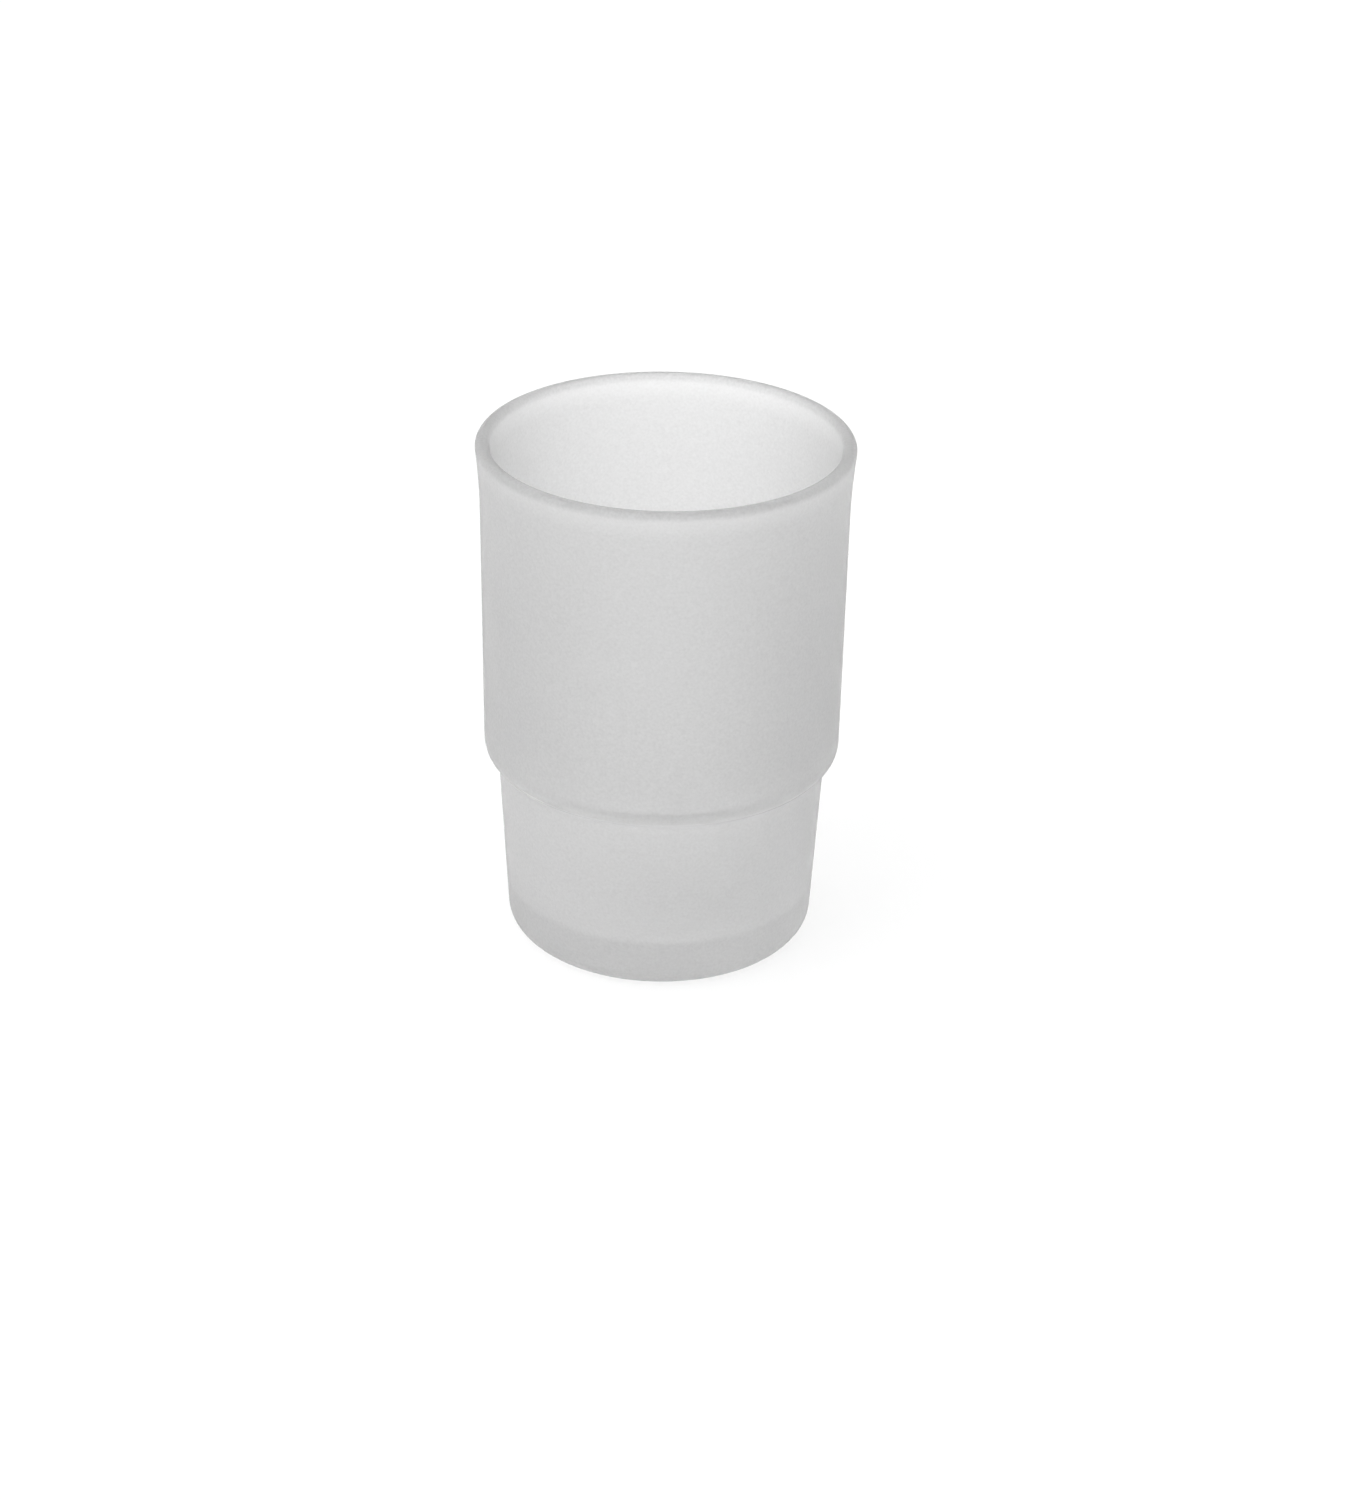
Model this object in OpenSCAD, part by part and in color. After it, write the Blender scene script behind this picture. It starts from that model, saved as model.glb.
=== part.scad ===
// Bathroom tumbler: a satin-etched pressed glass with a stepped wall, which hangs in a holder ring
// by its shoulder or stands on a shelf. Millimetres, +Z up, origin at the middle of the base.
// The whole glass is one outline turned about Z. Its wall keeps one thickness from the lip down to
// the floor, so the inside and the outside are arcs about the same centres.

/* [Overall] */
// Height from the base to the top of the lip
total_h = 97; // [92:0.5:104]
// Diameter across the lip, the widest place
lip_d = 68; // [66:0.5:70]
// Thickness of the wall
wall_t = 2.5; // [2.2:0.1:2.8]

/* [Body] */
// Height over which the wall opens out to the lip
flare_h = 12.4; // [8:0.2:18]
// Lean of the wall at the lip, in degrees from upright
flare_lean = 6.6; // [4:0.1:8]
// Lean of the body between the flare and the shoulder, in degrees from upright
body_lean = 0.5; // [0.2:0.1:1]

/* [Shoulder] */
// Height at which the neck ends and the seat's curve begins
seat_h = 33.3; // [29:0.1:37]
// How far the neck stands in from the body, which is what the holder ring carries
shoulder_w = 2.6; // [1.6:0.1:3.6]
// Lean of the neck, in degrees from upright
neck_lean = 3.2; // [2:0.1:4]
// Radius of the hollow curve that seats on the ring
seat_r = 3; // [2:0.1:4]
// Radius of the full curve where the body turns in
shoulder_r = 3.5; // [3.2:0.1:5]

/* [Base] */
// Thickness of the glass floor, up to the inside
floor_t = 7.8; // [6:0.1:9]
// Radius of the inside corner round the floor
floor_r = 5; // [3:0.5:7]
// Radius of the outside corner under the neck
base_r = 4; // [2.5:0.5:5.5]
// Width of the flat ring that the glass stands on
ring_w = 5; // [3:0.5:8]
// Depth of the shallow hollow inside that ring, at its middle
punt_depth = 0.8; // [0.4:0.1:1.2]

/* [Hidden] */
// Most that a straight step may stand off the arc that it follows
arc_gap = 0.005;
// Sides of the turned outline
turn_steps = 144;

// Outward normal of a wall that leans out by so many degrees, as [radius, height]
function out(lean) = [cos(lean), -sin(lean)];
// Direction up the same wall
function up(lean) = [sin(lean), cos(lean)];
// Points on an arc while its normal turns from one lean to another; a negative r is a hollow arc
function arc(centre, r, from, to) =
    let (turn = to - from, steps = ceil(abs(turn) / (2 * acos(1 - arc_gap / abs(r)))))
    [for (i = [0:steps]) centre + r * out(from + turn * i / steps)];

// The lip is a full round, and the flare is a hollow arc that meets it and the body
lip_r = wall_t / 2;
lip_c = [lip_d / 2 - lip_r, total_h - lip_r];
flare_r = flare_h / (sin(flare_lean) - sin(body_lean));
flare_c = lip_c + (lip_r + flare_r) * out(flare_lean);
body_top = flare_c - flare_r * out(body_lean);

// The neck stands in from the body's line, taken down to the height of the seat
neck_top = [body_top.x - (body_top.y - seat_h) * tan(body_lean) - shoulder_w, seat_h];

// The seat's arc meets the neck, and the shoulder's arc slides down the body until the two arcs meet
seat_c = neck_top + seat_r * out(neck_lean);
step_r = seat_r + shoulder_r;
above_seat = body_top - shoulder_r * out(body_lean) - seat_c;
rise = above_seat * up(body_lean);
slide = sqrt(rise * rise - above_seat * above_seat + step_r * step_r) - rise;
shoulder_c = seat_c + above_seat + slide * up(body_lean);
step_lean = atan2(shoulder_c.y - seat_c.y, seat_c.x - shoulder_c.x);

// Middle of a corner of radius r whose bottom is at height h, as far in from the neck's outside as inset
function corner_c(r, h, inset) =
    let (y = h + r, x = neck_top * out(neck_lean) - inset - r + y * sin(neck_lean))
    [x / cos(neck_lean), y];
base_c = corner_c(base_r, 0, 0);
floor_c = corner_c(floor_r, floor_t, wall_t);

// The hollow under the base is a shallow cap of a sphere
punt_reach = base_c.x - ring_w;
punt_r = (punt_reach * punt_reach + punt_depth * punt_depth) / (2 * punt_depth);
punt_c = [0, punt_depth - punt_r];
punt_turn = asin(punt_reach / punt_r);

outside = concat(
    arc(base_c, base_r, 90, neck_lean),
    arc(seat_c, -seat_r, neck_lean, step_lean),
    arc(shoulder_c, shoulder_r, step_lean, body_lean),
    arc(flare_c, -flare_r, body_lean, flare_lean)
);
lip = arc(lip_c, lip_r, flare_lean, flare_lean - 180);
inside = concat(
    arc(flare_c, -flare_r - wall_t, flare_lean, body_lean),
    arc(shoulder_c, shoulder_r - wall_t, body_lean, step_lean),
    arc(seat_c, -seat_r - wall_t, step_lean, neck_lean),
    arc(floor_c, floor_r, neck_lean, 90)
);
underside = arc(punt_c, punt_r, -90, punt_turn - 90);

// The pressed glass itself
module tumbler() {
    color([0.82, 0.83, 0.83])
        rotate_extrude($fn = turn_steps)
            polygon(concat(outside, lip, inside, [[0, floor_t]], underside));
}

tumbler();
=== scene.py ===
"""Satin glass bathroom tumbler: the looks of one stepped, pressed glass.

It hangs in a holder ring or stands on its base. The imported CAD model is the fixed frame. The glass is turned
again here as a fine closed mesh with the same sizes, and dressed in satin-etched soda-lime glass, on a plain
white studio floor.
"""

import math

import bpy
from mathutils import Matrix, Vector


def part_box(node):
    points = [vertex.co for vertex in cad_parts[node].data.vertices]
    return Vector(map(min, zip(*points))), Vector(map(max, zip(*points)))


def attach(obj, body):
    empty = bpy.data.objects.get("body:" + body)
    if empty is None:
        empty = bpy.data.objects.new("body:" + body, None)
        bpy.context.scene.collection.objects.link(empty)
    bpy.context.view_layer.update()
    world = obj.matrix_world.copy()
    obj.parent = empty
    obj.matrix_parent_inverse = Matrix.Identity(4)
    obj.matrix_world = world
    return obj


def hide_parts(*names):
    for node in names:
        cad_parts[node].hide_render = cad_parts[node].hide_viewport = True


bl_info = {
    "name": "Satin Glass Tumbler",
    "version": (1, 0, 0),
    "blender": (4, 5, 0),
    "location": "View3D > Sidebar > Tumbler",
    "description": "Turns a stepped satin glass tumbler and sets it on a plain studio floor",
    "category": "Object",
}

MM = 0.001
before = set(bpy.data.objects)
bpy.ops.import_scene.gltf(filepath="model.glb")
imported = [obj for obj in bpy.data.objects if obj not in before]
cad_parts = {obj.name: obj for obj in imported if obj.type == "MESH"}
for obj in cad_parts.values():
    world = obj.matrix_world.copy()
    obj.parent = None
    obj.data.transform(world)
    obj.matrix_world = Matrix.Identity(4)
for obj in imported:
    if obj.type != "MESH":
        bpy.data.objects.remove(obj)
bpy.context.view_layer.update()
CAD_LOW, CAD_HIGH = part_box("tumbler")

# The photograph's frame, where the middle of the glass stands in it, and its scale there, in pixels
PHOTO_WIDTH, PHOTO_HEIGHT = 1347, 1500
MIDDLE_PX = (662.434, 683.010)
PX_PER_MM = 5.4305

# Points of the outline that are nearer than this are one point, and so are those of the turned mesh
SAME_POINT = MM / 1e4
SAME_VERTEX = MM / 1e3

# Where the skin's painted shade changes: half the height over which the band before the thick floor fades
FLOOR_EDGE = 0.6 * MM
# Under the painted highlight line over the seat, where the painted shade of the neck ends
NECK_END = 3 * MM
# Over and under the middle of that line, where it has faded out, and up to where it is lightest
LINE_EDGE = 0.5 * MM
LINE_CORE = 0.1 * MM
# Over that line, where the shoulder has its painted shade, and where the body begins
SHOULDER_RISE = 1.8 * MM
BODY_RISE = 3.2 * MM
# Under the lip's top: the body's end, the foot and top of the painted highlight band, the full painted shade
BODY_END = 5 * MM
BAND_FOOT = 2.6 * MM
BAND_TOP = 1.6 * MM
LIP_EDGE = 0.7 * MM
# Sums of the shades at which the skin shows its light tone and its dark tone
SHADE_LIGHT = 0.55
SHADE_DARK = 1.55

# The floor's radius in metres and its sides. It lies just under the base, so no two faces share a plane
FLOOR_REACH = 4.0
FLOOR_SIDES = 64
FLOOR_DROP = 0.05 * MM
# How far the large lamp stands from the glass and how wide it is, in metres
KEY_DISTANCE = 1.1
KEY_WIDTH = 0.8
# The sensor's width in millimetres, for which the lens is worked out, and how near the camera sees, in metres
SENSOR_WIDTH = 36
NEAREST_SEEN = 0.01


# Small helpers

def linear(hex_colour):
    """An sRGB colour such as "F2F4F3" as linear red, green, blue and an alpha of 1, by the sRGB curve."""
    values = [int(hex_colour[i:i + 2], 16) / 255 for i in (0, 2, 4)]
    return [v / 12.92 if v <= 0.04045 else ((v + 0.055) / 1.055) ** 2.4 for v in values] + [1.0]


def add_node(tree, kind, settings=None, inputs=None):
    """Adds a node, sets its properties, and gives its inputs values or links from other nodes' outputs."""
    node = tree.nodes.new(kind)
    for name, value in (settings or {}).items():
        setattr(node, name, value)
    for name, value in (inputs or {}).items():
        if isinstance(value, bpy.types.NodeSocket):
            tree.links.new(value, node.inputs[name])
        else:
            node.inputs[name].default_value = value
    return node


def empty_material(name):
    """A new material with an empty node tree."""
    material = bpy.data.materials.new(name)
    material.use_nodes = True
    material.node_tree.nodes.clear()
    return material


def set_stops(ramp, top, stops):
    """Gives a ramp its grey values at heights on a glass that is so tall, all places before any grey."""
    while len(ramp.elements) < len(stops):
        ramp.elements.new(0.5)
    for element, (height, value) in zip(ramp.elements, stops):
        element.position = height / top
    for element, (height, value) in zip(ramp.elements, stops):
        element.color = (value, value, value, 1.0)


def seen_ray(tree):
    """1 for a ray from the camera, or one that glass bends or mirrors, and 0 for a ray that only lights."""
    path = add_node(tree, "ShaderNodeLightPath")
    either = add_node(tree, "ShaderNodeMath", {"operation": "MAXIMUM"}, {
        0: path.outputs["Is Camera Ray"], 1: path.outputs["Is Transmission Ray"]})
    return add_node(tree, "ShaderNodeMath", {"operation": "MAXIMUM"}, {
        0: either.outputs[0], 1: path.outputs["Is Glossy Ray"]}).outputs[0]


def deselect_all():
    """Leaves object mode with nothing selected."""
    if bpy.context.object and bpy.context.object.mode != "OBJECT":
        bpy.ops.object.mode_set(mode="OBJECT")
    bpy.ops.object.select_all(action="DESELECT")


# The outline of the glass, as a maker draws it: arcs that run into one another

def outward(lean):
    """Outward normal of a wall that leans out by lean radians as it rises, as (radius, height)."""
    return Vector((math.cos(lean), -math.sin(lean)))


def upward(lean):
    """Direction up the same wall."""
    return Vector((math.sin(lean), math.cos(lean)))


def arc(centre, radius, start, end, gap):
    """Points of an arc while its normal turns from one lean to another; a negative radius is a hollow arc.

    The straight steps between them stand off the arc by gap at most.
    """
    steps = math.ceil(abs(end - start) / (2 * math.acos(1 - gap / abs(radius))))
    return [centre + radius * outward(start + (end - start) * i / steps) for i in range(steps + 1)]


def glass_outline(s):
    """The outline from the middle of the underside, round the lip, to the middle of the floor inside."""
    # The lip is a full round, and the flare is a hollow arc that meets it and the body
    lip_r = s.wall / 2
    lip_c = Vector((s.lip_width / 2 - lip_r, s.height - lip_r))
    flare_r = s.flare_height / (math.sin(s.flare_lean) - math.sin(s.body_lean))
    flare_c = lip_c + (lip_r + flare_r) * outward(s.flare_lean)
    body_top = flare_c - flare_r * outward(s.body_lean)
    neck_x = body_top.x - (body_top.y - s.seat_height) * math.tan(s.body_lean) - s.shoulder_width
    neck_top = Vector((neck_x, s.seat_height))

    # The seat's arc meets the neck, and the shoulder's arc slides down the body until the two arcs meet
    seat_c = neck_top + s.seat_radius * outward(s.neck_lean)
    above_seat = body_top - s.shoulder_radius * outward(s.body_lean) - seat_c
    rise = above_seat.dot(upward(s.body_lean))
    reach = s.seat_radius + s.shoulder_radius
    slide = math.sqrt(rise ** 2 - above_seat.length_squared + reach ** 2) - rise
    shoulder_c = seat_c + above_seat + slide * upward(s.body_lean)
    step_lean = math.atan2(shoulder_c.y - seat_c.y, seat_c.x - shoulder_c.x)

    def corner(radius, height, inset):
        """Middle of a corner that stands at a height, as far in from the neck's outside as inset."""
        y = height + radius
        x = neck_top.dot(outward(s.neck_lean)) - inset - radius + y * math.sin(s.neck_lean)
        return Vector((x / math.cos(s.neck_lean), y))

    # The outside corner of the base, the inside corner of the floor, and a shallow cap of a sphere under them
    base_c = corner(s.base_radius, 0, 0)
    floor_c = corner(s.floor_radius, s.floor_thickness, s.wall)
    hollow_reach = base_c.x - s.ring_width
    hollow_r = (hollow_reach ** 2 + s.hollow_depth ** 2) / (2 * s.hollow_depth)
    hollow_c = Vector((0, s.hollow_depth - hollow_r))
    hollow_turn = math.asin(hollow_reach / hollow_r)
    quarter, half = math.pi / 2, math.pi
    gap = s.arc_gap
    return (
        arc(hollow_c, hollow_r, -quarter, hollow_turn - quarter, gap)
        + arc(base_c, s.base_radius, quarter, s.neck_lean, gap)
        + arc(seat_c, -s.seat_radius, s.neck_lean, step_lean, gap)
        + arc(shoulder_c, s.shoulder_radius, step_lean, s.body_lean, gap)
        + arc(flare_c, -flare_r, s.body_lean, s.flare_lean, gap)
        + arc(lip_c, lip_r, s.flare_lean, s.flare_lean - half, gap)
        + arc(flare_c, -flare_r - s.wall, s.flare_lean, s.body_lean, gap)
        + arc(shoulder_c, s.shoulder_radius - s.wall, s.body_lean, step_lean, gap)
        + arc(seat_c, -s.seat_radius - s.wall, step_lean, s.neck_lean, gap)
        + arc(floor_c, s.floor_radius, s.neck_lean, quarter, gap)
        + [Vector((0, s.floor_thickness))]
    )


def turned_shape(name, points, steps, longest):
    """Draws an outline of (radius, height) points in runs no longer than longest, and spins it round Z."""
    deselect_all()
    start = points[0]
    # A small plane, merged to one point, starts the edge
    bpy.ops.mesh.primitive_plane_add(size=MM, location=(start.x, 0, start.y))
    piece = bpy.context.object
    piece.name = piece.data.name = name
    bpy.ops.object.transform_apply(location=True, rotation=True, scale=True)
    bpy.ops.object.mode_set(mode="EDIT")
    bpy.ops.mesh.merge(type="CENTER")
    here = start
    for point in points[1:]:
        if (point - here).length < SAME_POINT:
            continue
        runs = math.ceil((point - here).length / longest)
        step = (point - here) / runs
        for _ in range(runs):
            bpy.ops.mesh.extrude_vertices_move(TRANSFORM_OT_translate={"value": (step.x, 0, step.y)})
        here = point
    bpy.ops.mesh.select_all(action="SELECT")
    bpy.ops.mesh.spin(steps=steps, angle=math.tau, center=(0, 0, 0), axis=(0, 0, 1))
    bpy.ops.mesh.select_all(action="SELECT")
    bpy.ops.mesh.remove_doubles(threshold=SAME_VERTEX)
    bpy.ops.mesh.normals_make_consistent(inside=False)
    bpy.ops.object.mode_set(mode="OBJECT")
    bpy.ops.object.shade_smooth()
    return piece


# Materials

def satin_etched_glass(f):
    """Soda-lime glass, pressed, then etched in acid all over.

    The etch scatters what passes, so nothing shows sharply through the wall, and sends part of it back as
    from milk. It leaves a dull sheen with no mirror highlight. Each wall that light crosses takes a little.
    Painted shade and painted highlights are set in the skin's colour, by height and towards its edges.
    """
    material = empty_material("satin_etched_glass")
    tree = material.node_tree
    place = add_node(tree, "ShaderNodeTexCoord").outputs["Object"]
    # A real etch is far too fine to show, so its grain is drawn as wide as grain_size says, about 0.5 mm
    grain = add_node(tree, "ShaderNodeTexNoise", inputs={"Vector": place, "Scale": 1 / f.grain_size})
    # The shade is painted by height: painted shade before the thick floor, a painted highlight line
    # where the seat meets the shoulder, painted shade at the foot of the body, then lighter up to a
    # painted highlight band under the lip, and painted shade on the lip's round top
    top = CAD_HIGH.z - CAD_LOW.z
    height = add_node(tree, "ShaderNodeSeparateXYZ", inputs={"Vector": place}).outputs["Z"]
    level = add_node(tree, "ShaderNodeMapRange", inputs={"Value": height, "From Max": top})
    shade = add_node(tree, "ShaderNodeValToRGB", inputs={"Fac": level.outputs["Result"]})
    set_stops(shade.color_ramp, top, [
        (f.floor_line / 2, f.foot_shade),
        (f.floor_line - FLOOR_EDGE, f.floor_shade),
        (f.floor_line + FLOOR_EDGE, f.low_neck_shade),
        (2 * f.floor_line, f.neck_shade),
        (f.seat_line - NECK_END, f.neck_shade),
        (f.seat_line - LINE_EDGE, f.hollow_shade),
        (f.seat_line - LINE_CORE, f.seat_shade),
        (f.seat_line + LINE_CORE, f.seat_shade),
        (f.seat_line + LINE_EDGE, f.hollow_shade),
        (f.seat_line + SHOULDER_RISE, f.shoulder_shade),
        (f.seat_line + BODY_RISE, f.body_shade),
        (top - BODY_END, f.upper_shade),
        (top - BAND_FOOT, f.under_lip_shade),
        (top - BAND_TOP, f.under_lip_shade),
        (top - LIP_EDGE, f.lip_shade),
    ])
    # Painted shade: the glass looks greyer towards its edges, where its skin is seen along,
    # so Layer Weight adds grey to its colour there
    edge = add_node(tree, "ShaderNodeLayerWeight").outputs["Facing"]
    shade = add_node(tree, "ShaderNodeMath", {"operation": "MULTIPLY_ADD"}, {
        0: edge, 1: f.edge_shade, 2: shade.outputs["Color"]}).outputs[0]
    shade = add_node(tree, "ShaderNodeMath", {"operation": "MULTIPLY_ADD"}, {
        0: grain.outputs["Fac"], 1: f.grain_shade, 2: shade}).outputs[0]
    shade = add_node(tree, "ShaderNodeMapRange", inputs={
        "Value": shade, "From Min": SHADE_LIGHT, "From Max": SHADE_DARK})
    tone = add_node(tree, "ShaderNodeMix", {"data_type": "RGBA"}, {
        0: shade.outputs["Result"], 6: f.light_tone, 7: f.dark_tone})
    dents = add_node(tree, "ShaderNodeBump", inputs={
        "Height": grain.outputs["Fac"], "Strength": f.grain_strength, "Distance": f.grain_depth})
    skin = add_node(tree, "ShaderNodeBsdfPrincipled", inputs={
        "Base Color": tone.outputs[2],
        "Roughness": f.roughness,
        "IOR": f.ior,
        "Transmission Weight": f.clearness,
        "Normal": dents.outputs["Normal"],
    })
    body = add_node(tree, "ShaderNodeVolumeAbsorption", inputs={
        "Color": f.glass_tone, "Density": f.absorption})
    add_node(tree, "ShaderNodeOutputMaterial", inputs={
        "Surface": skin.outputs["BSDF"], "Volume": body.outputs["Volume"]})
    return material


def white_studio_floor(s):
    """Matt white board, lifted part of the way to plain white where it is seen, so a soft shadow stays."""
    material = empty_material("white_studio_floor")
    tree = material.node_tree
    board = add_node(tree, "ShaderNodeBsdfDiffuse", inputs={"Color": linear("FFFFFF")})
    # An emission of strength 1 is plain white
    white = add_node(tree, "ShaderNodeEmission", inputs={"Color": linear("FFFFFF"), "Strength": 1.0})
    share = add_node(tree, "ShaderNodeMath", {"operation": "MULTIPLY"}, {0: seen_ray(tree), 1: s.floor_white})
    mix = add_node(tree, "ShaderNodeMixShader", inputs={
        "Fac": share.outputs[0], 1: board.outputs[0], 2: white.outputs[0]})
    add_node(tree, "ShaderNodeOutputMaterial", inputs={"Surface": mix.outputs[0]})
    return material


# Sizes and colours that a user changes

class TumblerShape(bpy.types.PropertyGroup):
    """Sizes of the glass"""

    height: bpy.props.FloatProperty(
        name="Height", description="From the base to the top of the lip",
        default=CAD_HIGH.z - CAD_LOW.z, unit="LENGTH")
    lip_width: bpy.props.FloatProperty(
        name="Lip width", description="Across the lip, the widest place",
        default=CAD_HIGH.x - CAD_LOW.x, unit="LENGTH")
    wall: bpy.props.FloatProperty(
        name="Wall", description="Thickness of the wall",
        default=2.5 * MM, unit="LENGTH")
    flare_height: bpy.props.FloatProperty(
        name="Flare height", description="Height over which the wall opens out to the lip",
        default=12.4 * MM, unit="LENGTH")
    flare_lean: bpy.props.FloatProperty(
        name="Flare lean", description="Lean of the wall at the lip",
        default=math.radians(6.6), subtype="ANGLE")
    body_lean: bpy.props.FloatProperty(
        name="Body lean", description="Lean of the body above the shoulder",
        default=math.radians(0.5), subtype="ANGLE")
    seat_height: bpy.props.FloatProperty(
        name="Seat height", description="Height at which the neck ends and the seat begins",
        default=33.3 * MM, unit="LENGTH")
    shoulder_width: bpy.props.FloatProperty(
        name="Shoulder width", description="How far the neck stands in from the body",
        default=2.6 * MM, unit="LENGTH")
    neck_lean: bpy.props.FloatProperty(
        name="Neck lean", description="Lean of the neck",
        default=math.radians(3.2), subtype="ANGLE")
    seat_radius: bpy.props.FloatProperty(
        name="Seat radius", description="Hollow curve that seats on the ring",
        default=3 * MM, unit="LENGTH")
    shoulder_radius: bpy.props.FloatProperty(
        name="Shoulder radius", description="Full curve where the body turns in",
        default=3.5 * MM, unit="LENGTH")
    floor_thickness: bpy.props.FloatProperty(
        name="Floor thickness", description="Glass under the inside floor",
        default=7.8 * MM, unit="LENGTH")
    floor_radius: bpy.props.FloatProperty(
        name="Floor radius", description="Inside corner round the floor",
        default=5 * MM, unit="LENGTH")
    base_radius: bpy.props.FloatProperty(
        name="Base radius", description="Outside corner under the neck",
        default=4 * MM, unit="LENGTH")
    ring_width: bpy.props.FloatProperty(
        name="Ring width", description="Flat ring that the glass stands on",
        default=5 * MM, unit="LENGTH")
    hollow_depth: bpy.props.FloatProperty(
        name="Hollow depth", description="Shallow hollow under the base",
        default=0.8 * MM, unit="LENGTH")
    arc_gap: bpy.props.FloatProperty(
        name="Arc gap", description="Most that a straight step stands off its arc",
        default=0.005 * MM, unit="LENGTH")
    longest_run: bpy.props.FloatProperty(
        name="Longest run", description="Longest face along the outline",
        default=2 * MM, unit="LENGTH")
    turn_steps: bpy.props.IntProperty(
        name="Turn steps", description="Steps round the glass", default=192)


class TumblerFinish(bpy.types.PropertyGroup):
    """Finish of the glass, and the painted shade and painted highlights on its skin"""

    roughness: bpy.props.FloatProperty(
        name="Etch roughness", description="How widely the etched skin scatters light",
        default=0.55, subtype="FACTOR")
    clearness: bpy.props.FloatProperty(
        name="Clearness",
        description="Share of the light that passes the skin; the rest comes back as from milk",
        default=0.92, subtype="FACTOR")
    ior: bpy.props.FloatProperty(
        name="Index of refraction", description="Soda-lime glass", default=1.52)
    absorption: bpy.props.FloatProperty(
        name="Absorption", description="Density of the absorption in the glass, per metre", default=15.0)
    glass_tone: bpy.props.FloatVectorProperty(
        name="Glass tone", description="Colour that thick glass turns what passes through it",
        default=linear("F0F0F0"), size=4, subtype="COLOR")
    light_tone: bpy.props.FloatVectorProperty(
        name="Light tone", description="Colour of the skin where its shade is lightest",
        default=linear("FFFFFF"), size=4, subtype="COLOR")
    dark_tone: bpy.props.FloatVectorProperty(
        name="Dark tone", description="Colour of the skin where its shade is darkest",
        default=linear("C0C0C0"), size=4, subtype="COLOR")
    # From here to lip_shade: painted shade and painted highlights, set by height in the skin's colour
    floor_line: bpy.props.FloatProperty(
        name="Floor line", description="Height below which the thick floor shows through the neck",
        default=10 * MM, unit="LENGTH")
    seat_line: bpy.props.FloatProperty(
        name="Seat line", description="Height of the light line where the seat meets the shoulder",
        default=35.65 * MM, unit="LENGTH")
    foot_shade: bpy.props.FloatProperty(
        name="Foot shade", description="Grey of the skin near the foot",
        default=0.46, subtype="FACTOR")
    floor_shade: bpy.props.FloatProperty(
        name="Floor shade", description="Grey of the skin before the thick floor",
        default=0.52, subtype="FACTOR")
    low_neck_shade: bpy.props.FloatProperty(
        name="Low neck shade", description="Grey of the neck just over the floor",
        default=0.34, subtype="FACTOR")
    neck_shade: bpy.props.FloatProperty(
        name="Neck shade", description="Grey of the skin of the neck",
        default=0.44, subtype="FACTOR")
    hollow_shade: bpy.props.FloatProperty(
        name="Hollow shade", description="Grey on both sides of the light line",
        default=0.42, subtype="FACTOR")
    seat_shade: bpy.props.FloatProperty(
        name="Seat shade", description="Grey of the light line over the seat",
        default=0.0, subtype="FACTOR")
    shoulder_shade: bpy.props.FloatProperty(
        name="Shoulder shade", description="Grey of the skin of the shoulder",
        default=0.31, subtype="FACTOR")
    body_shade: bpy.props.FloatProperty(
        name="Body shade", description="Grey of the skin at the foot of the body",
        default=0.61, subtype="FACTOR")
    upper_shade: bpy.props.FloatProperty(
        name="Upper shade", description="Grey of the skin at the top of the body",
        default=0.49, subtype="FACTOR")
    under_lip_shade: bpy.props.FloatProperty(
        name="Under lip shade", description="Grey of the light band under the lip",
        default=0.33, subtype="FACTOR")
    lip_shade: bpy.props.FloatProperty(
        name="Lip shade", description="Grey of the round top of the lip",
        default=0.84, subtype="FACTOR")
    # Painted shade towards the edges, where the skin is seen along it
    edge_shade: bpy.props.FloatProperty(
        name="Edge shade", description="Grey added where the skin is seen along it",
        default=0.3, subtype="FACTOR")
    grain_shade: bpy.props.FloatProperty(
        name="Grain shade", description="Grey added by the grain of the etch",
        default=0.6, subtype="FACTOR")
    grain_size: bpy.props.FloatProperty(
        name="Grain size", description="Width of a grain of the etch",
        default=0.5 * MM, unit="LENGTH")
    grain_strength: bpy.props.FloatProperty(
        name="Grain strength", description="Share of the grain's bump that shows",
        default=0.3, subtype="FACTOR")
    grain_depth: bpy.props.FloatProperty(
        name="Grain depth", description="Depth of the grain",
        default=0.03 * MM, unit="LENGTH")


class TumblerStage(bpy.types.PropertyGroup):
    """Camera, floor and lamps"""

    camera_distance: bpy.props.FloatProperty(
        name="Camera distance", description="From the middle of the glass",
        default=610 * MM, unit="LENGTH")
    camera_elevation: bpy.props.FloatProperty(
        name="Camera elevation", description="Angle above the floor",
        default=math.radians(26.4), subtype="ANGLE")
    camera_roll: bpy.props.FloatProperty(
        name="Camera roll", description="Leans the glass to the right",
        default=math.radians(0.8993), subtype="ANGLE")
    floor_white: bpy.props.FloatProperty(
        name="Floor white", description="How far the floor is lifted to plain white where it is seen",
        default=0.75, subtype="FACTOR")
    world_near: bpy.props.FloatProperty(
        name="World near", description="Soft light from the key's side", default=1.39)
    world_far: bpy.props.FloatProperty(
        name="World far", description="Soft light from the side away from the key", default=0.45)
    key_turn: bpy.props.FloatProperty(
        name="Key turn", description="Turns the light from straight left towards the camera",
        default=math.radians(30), subtype="ANGLE")
    key_height: bpy.props.FloatProperty(
        name="Key height", description="Angle of the light above the floor",
        default=math.radians(40), subtype="ANGLE")
    key_power: bpy.props.FloatProperty(
        name="Key power", description="Power of the large lamp at the upper left",
        default=3.1, unit="POWER")


# Operators

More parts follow.
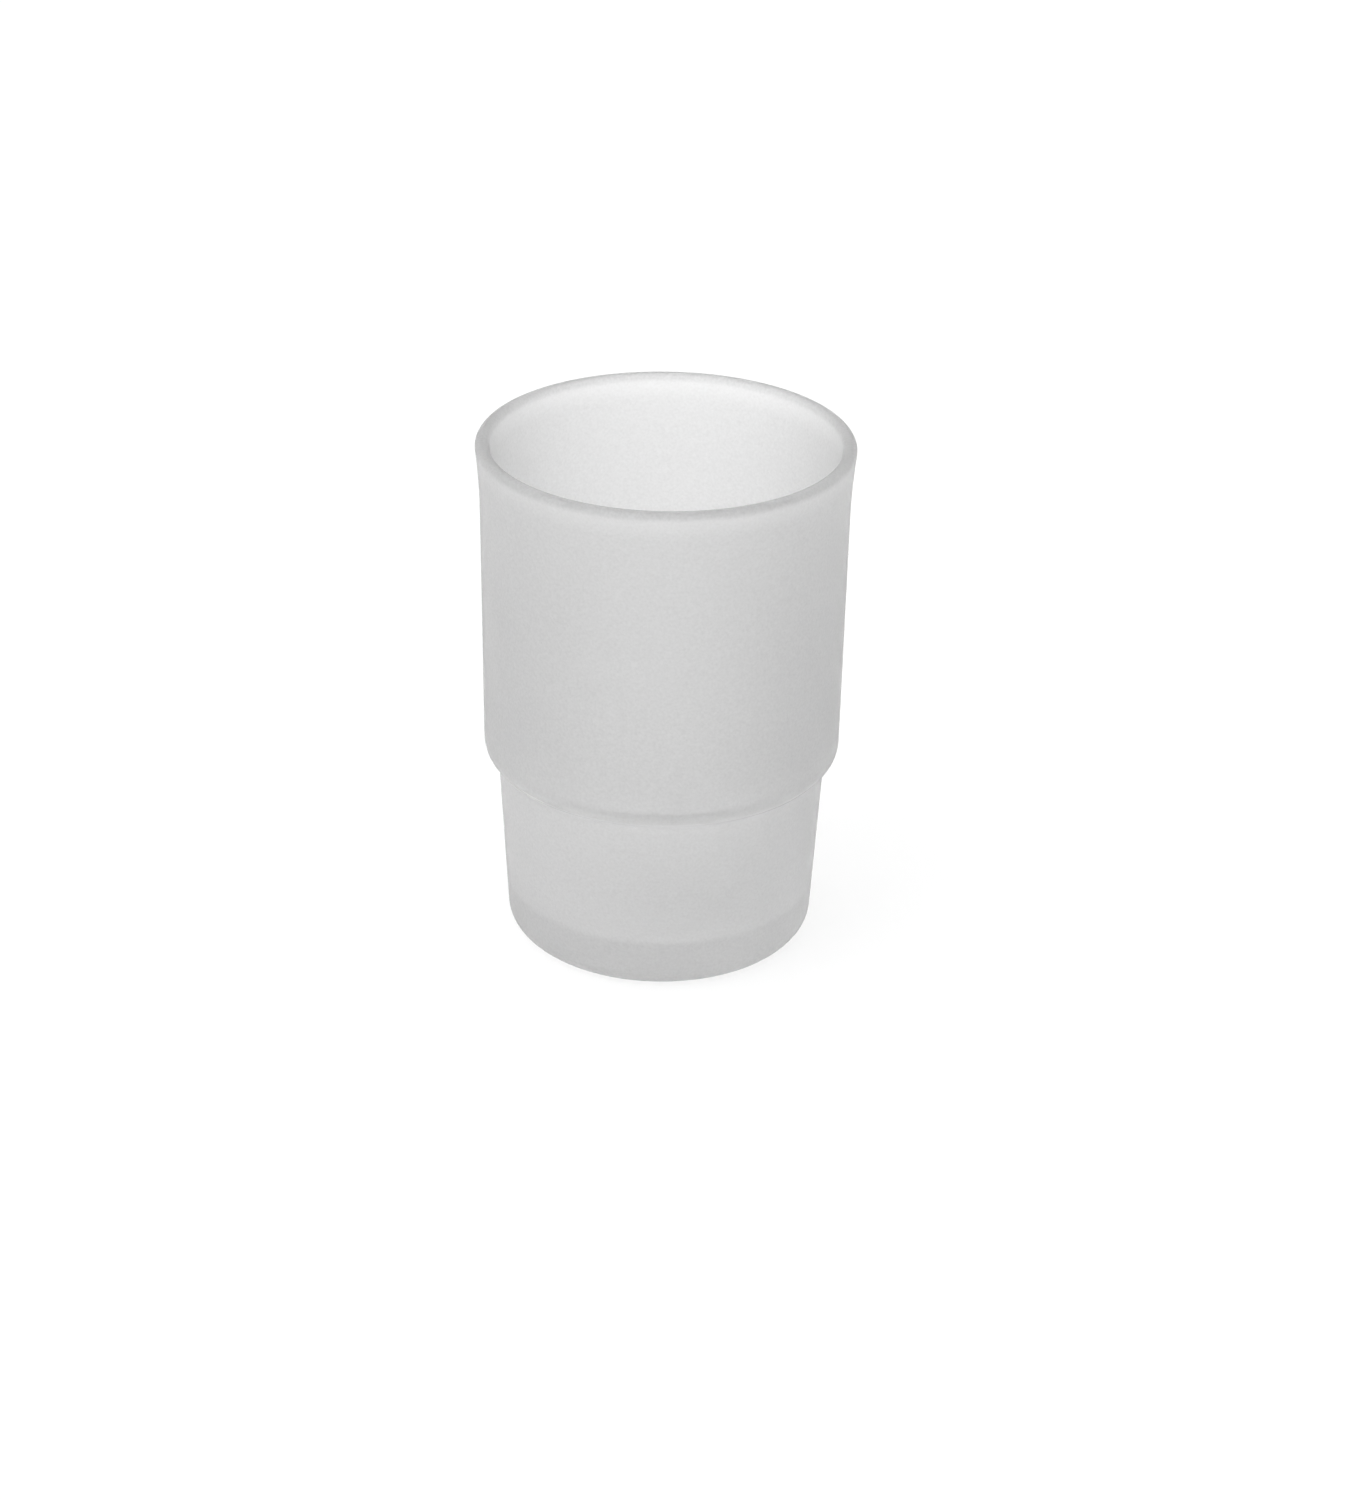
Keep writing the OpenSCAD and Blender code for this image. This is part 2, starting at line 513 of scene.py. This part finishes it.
class TUMBLER_OT_glass(bpy.types.Operator):
    """Turn the pressed glass from its outline and give it its satin etch"""

    bl_idname = "tumbler.glass"
    bl_label = "Pressed glass"

    def execute(self, context):
        s = context.scene.tumbler_shape
        glass = turned_shape("satin_tumbler", glass_outline(s), s.turn_steps, s.longest_run)
        glass.data.materials.clear()
        glass.data.materials.append(satin_etched_glass(context.scene.tumbler_finish))
        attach(glass, "root")
        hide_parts("tumbler")
        return {"FINISHED"}


class TUMBLER_OT_stage(bpy.types.Operator):
    """Set the floor, the soft light and the camera"""

    bl_idname = "tumbler.stage"
    bl_label = "Studio"

    def execute(self, context):
        s = context.scene.tumbler_stage
        self.add_floor(s)
        self.light_world(context, s)
        self.add_lamps(s)
        self.add_camera(context, s)
        context.scene.view_settings.view_transform = "Standard"
        return {"FINISHED"}

    def add_floor(self, s):
        deselect_all()
        bpy.ops.mesh.primitive_circle_add(
            vertices=FLOOR_SIDES, radius=FLOOR_REACH, fill_type="NGON", location=(0, 0, -FLOOR_DROP))
        floor = bpy.context.object
        floor.name = "studio_floor"
        bpy.ops.object.transform_apply(location=True, rotation=True, scale=True)
        floor.data.materials.append(white_studio_floor(s))

    def key_direction(self, s):
        """From the glass towards the key."""
        direction = Vector((-math.cos(s.key_height), 0, math.sin(s.key_height)))
        direction.rotate(Matrix.Rotation(s.key_turn, 3, "Z"))
        return direction

    def light_world(self, context, s):
        world = bpy.data.worlds.new("studio_world")
        world.use_nodes = True
        tree = world.node_tree
        tree.nodes.clear()
        # The light comes softly from all round, more from the key's side than from the other
        place = add_node(tree, "ShaderNodeTexCoord").outputs["Generated"]
        toward = add_node(tree, "ShaderNodeVectorMath", {"operation": "DOT_PRODUCT"}, {
            0: place, 1: self.key_direction(s)})
        level = add_node(tree, "ShaderNodeMapRange", inputs={
            "Value": toward.outputs["Value"], "From Min": -1.0, "From Max": 1.0,
            "To Min": s.world_far, "To Max": s.world_near})
        light = add_node(tree, "ShaderNodeBackground", inputs={
            "Color": linear("FFFFFF"), "Strength": level.outputs["Result"]})
        add_node(tree, "ShaderNodeOutputWorld", inputs={"Surface": light.outputs[0]})
        context.scene.world = world

    def add_lamps(self, s):
        deselect_all()
        target = (CAD_LOW + CAD_HIGH) / 2
        place = target + self.key_direction(s) * KEY_DISTANCE
        bpy.ops.object.light_add(type="AREA", location=place)
        lamp = bpy.context.object
        lamp.name = "key_softbox"
        lamp.rotation_euler = (target - place).to_track_quat("-Z", "Y").to_euler()
        lamp.data.size = KEY_WIDTH
        lamp.data.energy = s.key_power

    def add_camera(self, context, s):
        target = (CAD_LOW + CAD_HIGH) / 2
        back = Vector((0, -math.cos(s.camera_elevation), math.sin(s.camera_elevation)))
        right = Vector((1, 0, 0))
        up = back.cross(right)
        c, n = math.cos(s.camera_roll), math.sin(s.camera_roll)
        axes = Matrix((c * right + n * up, -n * right + c * up, back)).transposed()
        deselect_all()
        bpy.ops.object.camera_add(location=target + back * s.camera_distance)
        camera = bpy.context.object
        camera.name = "photo_camera"
        camera.matrix_world = Matrix.Translation(target + back * s.camera_distance) @ axes.to_4x4()
        # The lens and the shift give the photograph's scale and put the glass where it stands there
        focal_px = PX_PER_MM * s.camera_distance / MM
        camera.data.sensor_width = SENSOR_WIDTH
        camera.data.lens = focal_px / PHOTO_HEIGHT * camera.data.sensor_width
        camera.data.shift_x = (PHOTO_WIDTH / 2 - MIDDLE_PX[0]) / PHOTO_HEIGHT
        camera.data.shift_y = (MIDDLE_PX[1] - PHOTO_HEIGHT / 2) / PHOTO_HEIGHT
        camera.data.clip_start = NEAREST_SEEN
        context.scene.camera = camera


class TUMBLER_PT_panel(bpy.types.Panel):
    """The tumbler's tools and sizes"""

    bl_idname = "TUMBLER_PT_panel"
    bl_label = "Tumbler"
    bl_space_type = "VIEW_3D"
    bl_region_type = "UI"
    bl_category = "Tumbler"

    def draw(self, context):
        for name, label, operator in (
            ("tumbler_shape", "Sizes", "tumbler.glass"),
            ("tumbler_finish", "Finish", None),
            ("tumbler_stage", "Studio", "tumbler.stage"),
        ):
            box = self.layout.box()
            box.label(text=label)
            group = getattr(context.scene, name)
            for key in group.__annotations__:
                box.prop(group, key)
            if operator:
                box.operator(operator)


CLASSES = (TumblerShape, TumblerFinish, TumblerStage, TUMBLER_OT_glass, TUMBLER_OT_stage, TUMBLER_PT_panel)


def register():
    for cls in CLASSES:
        bpy.utils.register_class(cls)
    bpy.types.Scene.tumbler_shape = bpy.props.PointerProperty(type=TumblerShape)
    bpy.types.Scene.tumbler_finish = bpy.props.PointerProperty(type=TumblerFinish)
    bpy.types.Scene.tumbler_stage = bpy.props.PointerProperty(type=TumblerStage)


def unregister():
    del bpy.types.Scene.tumbler_stage
    del bpy.types.Scene.tumbler_finish
    del bpy.types.Scene.tumbler_shape
    for cls in reversed(CLASSES):
        bpy.utils.unregister_class(cls)


def main():
    register()
    bpy.ops.tumbler.glass()
    bpy.ops.tumbler.stage()


if __name__ == "__main__":
    main()
